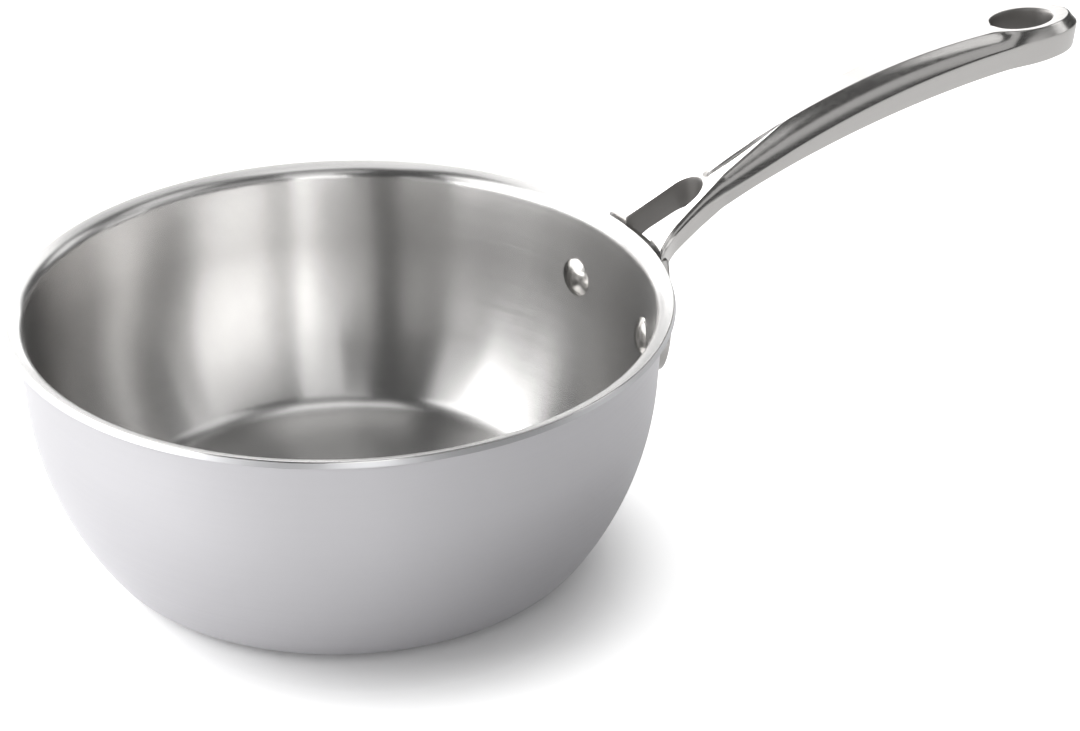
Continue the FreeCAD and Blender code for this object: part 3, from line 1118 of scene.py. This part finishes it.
    def slot_spread(self) -> float:
        """Angle by which each side of the slot leans outwards towards the lip."""
        straight = self.slot_reach - self.slot_end_radius
        return math.asin((self.slot_half - self.slot_end_radius) / straight)

    def leg_columns(self) -> list[list[Vector]]:
        """Cage columns of one leg, from inside the wall to the slot's round end.

        Returns:
            Columns of one point per row.
        """
        spread = self.slot_spread()
        centre = self.slot_reach - self.slot_end_radius
        touch = centre + self.slot_end_radius * math.sin(spread)
        touch_half = self.slot_end_radius * math.cos(spread)
        flare = math.tan(spread)
        spots = [
            (reach, reach, touch_half + (touch - reach) * flare) for reach in self.leg_reaches
        ]
        angles = (math.pi / 2 - spread, *self.slot_end_angles)
        radius = self.slot_end_radius * cage_share(angles[2] - angles[3])
        for angle, outer_reach in zip(angles, self.slot_end_reaches):
            spots.append((outer_reach, centre + radius * math.cos(angle), radius * math.sin(angle)))
        columns = []
        shares = (0.0, self.leg_ridge_share, self.foot_share)
        for outer_reach, inner_reach, inner_half in spots:
            sides = self.outer(outer_reach)
            inner = Vector((inner_reach, inner_half, self.fork_plane(inner_reach)))
            under = inner - Vector((0.0, 0.0, self.fork_section(inner_reach).depth))
            top = [inner.lerp(sides[0], share) for share in shares]
            columns.append(self.column(top, sides, under))
        return columns

    def tongue_columns(self) -> list[list[Vector]]:
        """Cage columns of the fork's upper end, where the tongue runs on over it.

        Returns:
            Columns of one point per row.
        """
        columns = []
        for reach, outer_reach in self.tongue_spots:
            plane = self.fork_plane(reach)
            rise = plane
            if reach > self.tongue_reach:
                rise += self.tongue_height * (self.ridge(reach) - plane)
            half = self.tongue_half(max(reach, self.tongue_reach))
            top = (
                Vector((reach, 0.0, rise)),
                Vector((reach, half, rise)),
                Vector((reach, half + self.support, plane)),
            )
            under = Vector((reach, 0.0, plane - self.fork_section(reach).depth))
            columns.append(self.column(top, self.outer(outer_reach), under))
        return columns

    def grip_columns(self) -> list[list[Vector]]:
        """Cage columns of the grip, from the shoulder to the eye.

        Returns:
            Columns of one point per row.
        """
        columns = []
        for reach in self.grip_reaches:
            sides = self.outer(reach)
            edge, _, lower = sides
            aside = Vector((0.0, self.support, 0.0))
            top = (Vector((reach, 0.0, edge.z)), edge - 2 * aside, edge - aside)
            columns.append(self.column(top, sides, Vector((reach, 0.0, lower.z))))
        return columns

    def eye_point(self, oval: Oval, level: Level, angle: float) -> Vector:
        """Point of the eye's outline, blended into the grip's where that is wider.

        Args:
            oval: Outline of the eye at the level.
            level: Level of the handle.
            angle: Angle round the oval in degrees.

        Returns:
            Reach and distance from the middle plane, at no rise.
        """
        spot = oval.point(self.reach, angle, cage_share(self.eye_step))
        if angle > 90:
            # In the oval's near half, a norm of the two half-widths joins them: the higher its
            # power, the more it is just the wider one
            power = self.eye_blends[level]
            spot.y = (spot.y ** power + self.grip_halves(spot.x)[level] ** power) ** (1 / power)
        return spot

    def tip_columns(self) -> list[list[Vector]]:
        """Cage columns of the oval eye round the hanging hole.

        Returns:
            Columns of one point per row.
        """
        hole_start = self.reach - self.hole.setback - self.hole.length
        hole_middle = hole_start + self.hole.length / 2
        lead_reach = hole_start - self.hole_lead
        lead = Vector((lead_reach, 0.0, self.top.rise(lead_reach)))
        sides = self.outer(self.eye_start)
        shares = (0.0, self.lead_ridge_share, self.foot_share)
        top = [lead.lerp(sides[0], share) for share in shares]
        under = Vector((lead_reach, 0.0, self.underside.rise(lead_reach)))
        columns = [self.column(top, sides, under)]
        for hole_angle, top_angle, side_angle in self.eye_angles:
            rim = self.hole.point(self.reach, hole_angle, cage_share(self.eye_step))
            under = Vector((rim.x, rim.y, self.underside.rise(rim.x)))
            rim.z = self.top.straightened(rim.x, hole_start)
            edge = self.eye_point(self.eye_top, Level.TOP, top_angle)
            edge.z = self.top.straightened(edge.x, hole_start)
            crease = self.eye_point(self.eye_crease, Level.CREASE, side_angle)
            crease.z = self.crease.straightened(crease.x, hole_middle)
            lower = self.eye_point(self.eye_underside, Level.UNDERSIDE, side_angle)
            lower.z = self.underside.rise(lower.x)
            ridge_share = min(self.rim_rounding / (edge - rim).length, self.most_ridge_share)
            top = [rim.lerp(edge, share) for share in (0.0, ridge_share, self.foot_share)]
            # The grip's bulging side runs out into the eye's straight one
            bulging = max(side_angle - 90, 0) / self.bulge_fade
            columns.append(self.column(top, (edge, crease, lower), under, bulging))
        return columns

    def cage(self) -> bmesh.types.BMesh:
        """Draws the handle's arm as a coarse cage with its crisp edges marked.

        Returns:
            A closed mesh in metres.
        """
        columns = [
            *self.leg_columns(),
            *self.tongue_columns(),
            *self.grip_columns(),
            *self.tip_columns(),
        ]
        shape = bmesh.new()
        sharpness = shape.edges.layers.float.new("crease_edge")
        ring = [shape.verts.new(point) for point in columns[0]]
        edges = [shape.edges.new((ring[index - 1], ring[index])) for index in range(len(ring))]
        crisp = (Row.TOP_MIDDLE, Row.TOP_EDGE, Row.CREASE, Row.LOWER_EDGE, Row.UNDERSIDE_MIDDLE)
        tongue = (Row.RIDGE, Row.FOOT)
        for column in columns[1:]:
            before = ring
            extruded = bmesh.ops.extrude_edge_only(shape, edges=edges)["geom"]
            fresh = {item for item in extruded if isinstance(item, bmesh.types.BMVert)}
            ring = [
                next(
                    edge.other_vert(vert)
                    for edge in vert.link_edges
                    if edge.other_vert(vert) in fresh
                )
                for vert in before
            ]
            edges = [shape.edges.get((ring[index - 1], ring[index])) for index in range(len(ring))]
            for row, vert in enumerate(ring):
                vert.co = column[row]
                side = shape.edges.get((before[row], vert))
                on_tongue = self.tongue_reach < column[0].x < self.shoulder and row in tongue
                # Near the tip the top's middle row is the hole's rim, which stays round
                on_rim = column[0].x > self.reach / 2 and row == Row.TOP_MIDDLE
                if row in crisp and not on_rim or on_tongue:
                    side[sharpness] = self.edge_crease
        flat = [face for face in shape.faces if on_middle(face)]
        bmesh.ops.delete(shape, geom=flat, context="FACES")
        for edge in filter(on_middle, shape.edges):
            edge[sharpness] = 0.0
        bmesh.ops.mirror(
            shape,
            geom=shape.verts[:] + shape.edges[:] + shape.faces[:],
            merge_dist=MERGE_MM,
            axis="Y",
        )
        leg_ends = [edge for edge in shape.edges if edge.is_boundary]
        bmesh.ops.holes_fill(shape, edges=leg_ends, sides=0)
        bmesh.ops.recalc_face_normals(shape, faces=shape.faces[:])
        bmesh.ops.translate(
            shape, vec=(self.bowl.lip_radius, 0.0, self.bowl.rim_height), verts=shape.verts[:]
        )
        bmesh.ops.scale(shape, vec=(MM, MM, MM), verts=shape.verts[:])
        return shape

    def flange_thickness(self, height: float) -> float:
        """Works out the flange's thickness, which grows towards the legs.

        Args:
            height: Height above the floor.

        Returns:
            Thickness at that height.
        """
        foot = self.rivets.height - self.ear_radius
        top = self.bowl.rim_height - self.flange_below_rim
        share = (height - foot) / (top - foot)
        top_thickness = self.bowl.lip_radius + self.flange_beyond_lip - self.bowl.wall_radius(top)
        return self.flange_foot_thickness + share * (top_thickness - self.flange_foot_thickness)

    def flange(self) -> bmesh.types.BMesh:
        """Draws the flange flat, rounds its outer edge and bends it round the wall.

        Returns:
            A closed mesh in metres.
        """
        top = self.bowl.rim_height - self.flange_below_rim
        ear_half = self.bowl.wall_radius(self.rivets.height) * math.sin(self.rivets.angle)
        ear = Vector((ear_half, 0.0, self.rivets.height))
        corner = Vector((self.flange_top_half, 0.0, top))
        to_corner = corner - ear
        turn = math.atan2(to_corner.z, to_corner.x) - math.acos(self.ear_radius / to_corner.length)
        outline = Outline(0.0, top)
        outline.line_to(corner.x, corner.z)
        touch = ear + Vector((math.cos(turn), 0.0, math.sin(turn))) * self.ear_radius
        outline.line_to(touch.x, touch.z)
        outline.arc(ear, -math.pi / 2 - turn, steps=16)
        outline.line_to(0.0, self.rivets.height - self.ear_radius)
        shape = outline.shape
        bmesh.ops.mirror(
            shape, geom=shape.verts[:] + shape.edges[:], merge_dist=MERGE_MM, axis="X"
        )
        face = bmesh.ops.contextual_create(shape, geom=shape.edges[:])["faces"][0]
        # Depth runs along -Y while the flange is flat, from inside the wall to the outer face
        raised = bmesh.ops.extrude_face_region(shape, geom=[face])["geom"]
        lifted = [item for item in raised if isinstance(item, bmesh.types.BMVert)]
        bmesh.ops.translate(shape, vec=(0.0, -self.flange_flat_depth, 0.0), verts=lifted)
        front = next(item for item in raised if isinstance(item, bmesh.types.BMFace))
        bmesh.ops.bevel(
            shape,
            geom=front.edges[:],
            offset=self.flange_rounding,
            offset_type="OFFSET",
            affect="EDGES",
            segments=4,
            profile=0.5,
            material=-1,
            clamp_overlap=True,
        )
        # Cuts across let the flange bend
        cuts = int(max(vert.co.x for vert in shape.verts) / self.flange_strip)
        for index in range(-cuts, cuts + 1):
            bmesh.ops.bisect_plane(
                shape,
                geom=shape.verts[:] + shape.edges[:] + shape.faces[:],
                plane_co=(self.flange_strip * index, 0.0, 0.0),
                plane_no=(1, 0, 0),
                dist=MERGE_MM,
            )
        for vert in shape.verts:
            half, depth, height = vert.co.x, -vert.co.y, vert.co.z
            inside = self.bowl.wall_radius(height) - self.bowl.wall_thickness
            thickness = self.flange_thickness(height) + self.bowl.wall_thickness
            radius = inside + thickness * min(depth / self.flange_flat_depth, 1.0)
            vert.co = Vector((math.sqrt(radius ** 2 - half ** 2), half, height))
        bmesh.ops.recalc_face_normals(shape, faces=shape.faces[:])
        bmesh.ops.scale(shape, vec=(MM, MM, MM), verts=shape.verts[:])
        return shape

    def skin_and_shade_share(self, place: Vector, normal: Vector) -> float:
        """How far a point of the surface belongs to a wall of the slot or the hole, which gets a
        dull skin and a painted shade.

        Args:
            place: The point, in millimetres.
            normal: Normal of the surface there.

        Returns:
            1 on such a wall, 0 off it and between the two on its rounded edges.
        """
        reach = place.x - self.bowl.lip_radius
        hole_middle = self.reach - self.hole.setback - self.hole.length / 2
        if reach > hole_middle - self.hole.length:
            middle, widest = hole_middle, self.hole.length / 2
        else:
            middle, widest = min(reach, self.slot_reach - self.slot_end_radius), self.slot_half
        inwards = Vector((middle - reach, -place.y, 0.0))
        if inwards.length > widest + self.skin_and_shade_margin:
            return 0.0
        low, high = self.skin_and_shade_facing
        facing = inwards.normalized().dot(normal)
        return min(max((facing - low) / (high - low), 0.0), 1.0)

    def build(self, finishes: dict[str, bpy.types.Material]) -> None:
        """Builds and dresses the handle as one casting.

        Args:
            finishes: Material for each slot.
        """
        steel = finishes["handle_steel"]
        arm = finished_piece(self.cage(), "handle_arm", steel, math.pi)
        smooth = arm.modifiers.new("smooth", "SUBSURF")
        smooth.levels = self.smoothing
        smooth.render_levels = self.smoothing
        pad = finished_piece(self.flange(), "handle_flange", steel, math.pi)
        keep_out = self.bowl.room(self.bowl.rim_height + self.room_above_rim)
        room = finished_piece(keep_out, "bowl_room", steel, math.pi)
        for name, other, operation in (("flange", pad, "UNION"), ("seat", room, "DIFFERENCE")):
            step = arm.modifiers.new(name, "BOOLEAN")
            step.object = other
            step.operation = operation
            step.solver = "EXACT"
        shape = bmesh.new()
        depsgraph = bpy.context.evaluated_depsgraph_get()
        whole = bpy.data.meshes.new_from_object(arm.evaluated_get(depsgraph))
        shape.from_mesh(whole)
        bmesh.ops.remove_doubles(shape, verts=shape.verts[:], dist=WELD_M)
        for scaffold in (arm, pad, room):
            bpy.data.objects.remove(scaffold)
        bpy.data.meshes.remove(whole)
        piece = finished_piece(shape, "cast_handle", steel, self.sharp_angle)
        # The mark gives the walls of the slot and the hole their dull skin and their painted shade
        marks = piece.data.attributes.new(SKIN_AND_SHADE_MARK, "FLOAT", "POINT")
        for vert, mark in zip(piece.data.vertices, marks.data):
            mark.value = self.skin_and_shade_share(vert.co / MM, vert.normal)
        stand_for(piece, "handle")


@dataclass(frozen=True)
class Softbox:
    """A rectangular lamp on a dome round the pan, which it faces.

    Attributes:
        name: Name of the lamp.
        azimuth: Degrees round the pan, from the camera's right by the far side.
        elevation: Degrees above the floor.
        spread: Degrees that it spans from side to side.
        height: Height in metres.
        level: Brightness of its face, where 1 is white.
    """

    name: str
    azimuth: float
    elevation: float
    spread: float
    height: float
    level: float


@dataclass
class Studio:
    """Plain pale floor, soft lamps and the camera at the photograph's angle."""

    view_turn: float = math.radians(-25.8)
    camera_place: tuple[float, float, float] = (0.0632, -0.8230, 0.4999)
    camera_pitch: float = math.radians(90 - 28.11)
    lens: float = 96.67
    sensor: float = 36.0
    clip_start: float = 0.01
    floor_size: float = 12.0
    floor_gap: float = 0.0002
    floor_colour: str = "E8E8E8"
    shadow_centre: tuple[float, float, float] = (0.010, -0.022, 0.0)
    shadow_radii: tuple[float, float] = (0.060, 0.104)
    shadow_lift: float = 0.03
    open_lift: float = 0.66
    far_radii: tuple[float, float] = (0.2, 1.5)
    mirrored_lift: float = 0.01
    room_level: float = 0.08
    lamp_distance: float = 1.5
    lamp_aim: tuple[float, float, float] = (0.0, 0.0, 0.06)
    softboxes: tuple[Softbox, ...] = (
        Softbox("right_low", 0, 9, 20, 0.475, 1.29),
        Softbox("far_right_low", 80, 9, 20, 0.475, 2.34),
        Softbox("far_low", 120, 9, 60, 0.475, 1.0),
        Softbox("left_low", 170, 9, 40, 0.475, 1.8),
        Softbox("left_near_low", 210, 9, 40, 0.475, 4.25),
        Softbox("near_left_low", 240, 9, 20, 0.475, 0.73),
        Softbox("near_low", 280, 9, 20, 0.475, 2.71),
        Softbox("right", 10, 29, 40, 0.583, 0.43),
        Softbox("right_far", 40, 29, 20, 0.583, 1.29),
        Softbox("far_right", 80, 29, 20, 0.583, 1.8),
        Softbox("far", 104, 33, 24, 0.75, 1.9),
        Softbox("far_strip", 123, 29, 9, 1.1, 5.0),
        Softbox("far_left", 130, 29, 40, 0.583, 3.15),
        Softbox("left", 170, 29, 40, 0.583, 6.45),
        Softbox("left_near", 200, 29, 20, 0.583, 4.63),
        Softbox("near_left", 220, 29, 20, 0.583, 0.94),
        Softbox("near", 285, 29, 20, 0.583, 0.95),
        Softbox("near_right", 325, 29, 60, 0.583, 0.5),
        Softbox("right_high", 0, 51, 40, 0.583, 1.0),
        Softbox("far_high", 80, 51, 40, 0.583, 0.67),
        Softbox("far_left_high", 120, 51, 40, 0.583, 1.08),
        Softbox("left_high", 180, 51, 80, 0.583, 2.09),
        Softbox("near_high", 280, 51, 40, 0.583, 0.68),
        Softbox("overhead_right", 0, 78, 90, 0.75, 0.3),
        Softbox("overhead_far", 90, 78, 90, 0.75, 1.2),
    )

    def turned(self, place: Sequence[float]) -> Vector:
        """Turns a place seen from the camera's side into the part's frame."""
        return Matrix.Rotation(self.view_turn, 3, "Z") @ Vector(place)

    def camera(self) -> None:
        """Sets the camera where the photograph's was."""
        data = bpy.data.cameras.new("camera")
        data.lens = self.lens
        data.sensor_width = self.sensor
        data.clip_start = self.clip_start
        camera = bpy.data.objects.new("camera", data)
        camera.location = self.turned(self.camera_place)
        camera.rotation_euler = Euler((self.camera_pitch, 0.0, self.view_turn))
        bpy.context.scene.collection.objects.link(camera)
        bpy.context.scene.camera = camera

    def floor(self) -> None:
        """Lays the floor: matt white paper, lifted to white outside a disc by the pan, whose fading
        edge paints the shadow's outline.
        """
        # Uncoated paper scatters light evenly, so it shows the shadow and no highlight
        material, tree = empty_material("matt_white_paper")
        paper = add_node(tree, "ShaderNodeBsdfDiffuse", {"Color": linear(self.floor_colour)})
        place = add_node(tree, "ShaderNodeTexCoord").outputs["Object"]
        # Inside this disc the lamps' own shadow shows; its fading edge, off the pan's centre, is
        # painted shadow that sets the shadow's reach and shape
        centre = self.turned(self.shadow_centre)
        away = add_node(tree, "ShaderNodeVectorMath", {0: place, 1: centre}, operation="DISTANCE")
        lift = add_node(
            tree,
            "ShaderNodeMapRange",
            {
                "Value": away.outputs["Value"],
                "From Min": self.shadow_radii[0],
                "From Max": self.shadow_radii[1],
                "To Min": self.shadow_lift,
                "To Max": self.open_lift,
            },
            interpolation_type="SMOOTHSTEP",
        )
        # Where the lamps don't reach, the floor is lifted all the way to white
        far_lift = add_node(
            tree,
            "ShaderNodeMapRange",
            {
                "Value": away.outputs["Value"],
                "From Min": self.far_radii[0],
                "From Max": self.far_radii[1],
                "To Min": lift.outputs[0],
                "To Max": 1.0,
            },
        )
        path = add_node(tree, "ShaderNodeLightPath")
        mirrored = add_node(
            tree,
            "ShaderNodeMath",
            {0: path.outputs["Is Glossy Ray"], 1: path.outputs["Is Transmission Ray"]},
            operation="MAXIMUM",
        )
        dimmed = add_node(
            tree,
            "ShaderNodeMath",
            {0: mirrored.outputs[0], 1: self.mirrored_lift},
            operation="MULTIPLY",
        )
        strength = add_node(
            tree,
            "ShaderNodeMath",
            {0: path.outputs["Is Camera Ray"], 1: far_lift.outputs[0], 2: dimmed.outputs[0]},
            operation="MULTIPLY_ADD",
        )
        glow = add_node(
            tree, "ShaderNodeEmission", {"Color": (1, 1, 1, 1), "Strength": strength.outputs[0]}
        )
        both = add_node(tree, "ShaderNodeAddShader", {0: paper.outputs[0], 1: glow.outputs[0]})
        add_node(tree, "ShaderNodeOutputMaterial", {"Surface": both.outputs[0]})
        shape = bmesh.new()
        bmesh.ops.create_grid(shape, x_segments=1, y_segments=1, size=self.floor_size / 2)
        bmesh.ops.translate(shape, vec=(0, 0, -self.floor_gap), verts=shape.verts[:])
        floor = finished_piece(shape, "floor", material, math.pi)

    def world(self) -> None:
        """Surrounds the pan with a dim room, which the camera sees as a white backdrop."""
        world = bpy.data.worlds.new("studio")
        bpy.context.scene.world = world
        world.use_nodes = True
        tree = world.node_tree
        tree.nodes.clear()
        straight = add_node(tree, "ShaderNodeLightPath").outputs["Is Camera Ray"]
        level = add_node(
            tree, "ShaderNodeMath", {0: straight, 1: self.room_level}, operation="MAXIMUM"
        )
        background = add_node(
            tree, "ShaderNodeBackground", {"Color": (1, 1, 1, 1), "Strength": level.outputs[0]}
        )
        add_node(tree, "ShaderNodeOutputWorld", {"Surface": background.outputs[0]})

    def lamps(self) -> None:
        """Hangs the softboxes."""
        aim = Vector(self.lamp_aim)
        for box in self.softboxes:
            angles = Euler((0.0, -math.radians(box.elevation), math.radians(box.azimuth)))
            arm = Vector((self.lamp_distance, 0.0, 0.0))
            arm.rotate(angles)
            width = 2 * arm.xy.length * math.tan(math.radians(box.spread) / 2)
            data = bpy.data.lights.new(box.name, "AREA")
            data.shape = "RECTANGLE"
            data.size, data.size_y = width, box.height
            data.energy = math.pi * width * box.height * box.level
            lamp = bpy.data.objects.new(box.name, data)
            lamp.location = self.turned(aim + arm)
            lamp.rotation_euler = self.turned(-arm).to_track_quat("-Z", "Y").to_euler()
            bpy.context.scene.collection.objects.link(lamp)

    def build(self) -> None:
        """Sets up the whole studio."""
        self.camera()
        self.floor()
        self.world()
        self.lamps()
        bpy.context.scene.view_settings.view_transform = "Standard"


@dataclass
class SaucierPan:
    """The whole pan, with the finish of each material slot."""

    bowl: Bowl = field(default_factory=Bowl)

    def finishes(self) -> dict[str, bpy.types.Material]:
        """Makes the finishes.

        Returns:
            Material for each slot of the record.
        """
        # A coarse brush gives a pale, even satin that only hints at its surroundings
        outer = SpunSheet(
            name="satin_brushed_stainless",
            colour="D0CFD2",
            roughness=0.38,
            roughness_spread=0.05,
            smear=0.5,
            ring_mm=0.8,
            ring_depth_mm=0.004,
        )
        # Left as it was turned, the bare aluminium shows as a dull line in the lip's edge
        core = SpunSheet(
            name="bare_aluminium_edge",
            colour="D4D4D6",
            roughness=0.4,
            roughness_spread=0.05,
            smear=0.2,
            ring_mm=0.4,
            ring_depth_mm=0.002,
        )
        # A fine brush round the bowl draws reflections out into light and dark upright bands
        liner = SpunSheet(
            name="fine_brushed_stainless",
            colour="D0CFCE",
            roughness=0.24,
            roughness_spread=0.02,
            smear=0.92,
            ring_mm=0.6,
            ring_depth_mm=0.0006,
        )
        # Buffed lengthwise, the casting mirrors bright and dark strips; its slot stays dull, and
        # the darker colour of its slot and hole walls is painted shade
        handle = CastSteel(
            name="polished_cast_stainless",
            colour="CCCAC8",
            roughness=0.2,
            roughness_spread=0.04,
            hairline_mm=0.5,
            hairline_length_mm=12.0,
            wave_mm=14.0,
            wave_depth_mm=0.02,
            # Painted shade on the walls of the slot and the hole
            painted_shade_colour="8C8A88",
            cast_roughness=0.5,
        )
        # Pressed and buffed heads carry one soft highlight each
        rivet = PolishedSteel(
            name="polished_rivet_stainless",
            colour="C4C2BF",
            roughness=0.2,
            roughness_spread=0.02,
            hairline_mm=0.4,
            hairline_length_mm=1.0,
            wave_mm=5.0,
            wave_depth_mm=0.01,
        )
        return {
            "outer_steel": outer.build(),
            "core_aluminium": core.build(),
            "liner_steel": liner.build(),
            "handle_steel": handle.build(),
            "rivet_steel": rivet.build(),
        }

    def build(self) -> None:
        """Builds the sub-assemblies in order."""
        finishes = self.finishes()
        rivets = Rivets(self.bowl)
        self.bowl.build(finishes)
        CastHandle(self.bowl, rivets).build(finishes)
        rivets.build(finishes)


def main() -> None:
    """Builds the studio and the pan, and reports each piece."""
    logging.basicConfig(level=logging.INFO)
    Studio().build()
    SaucierPan().build()


if __name__ == "__main__":
    main()
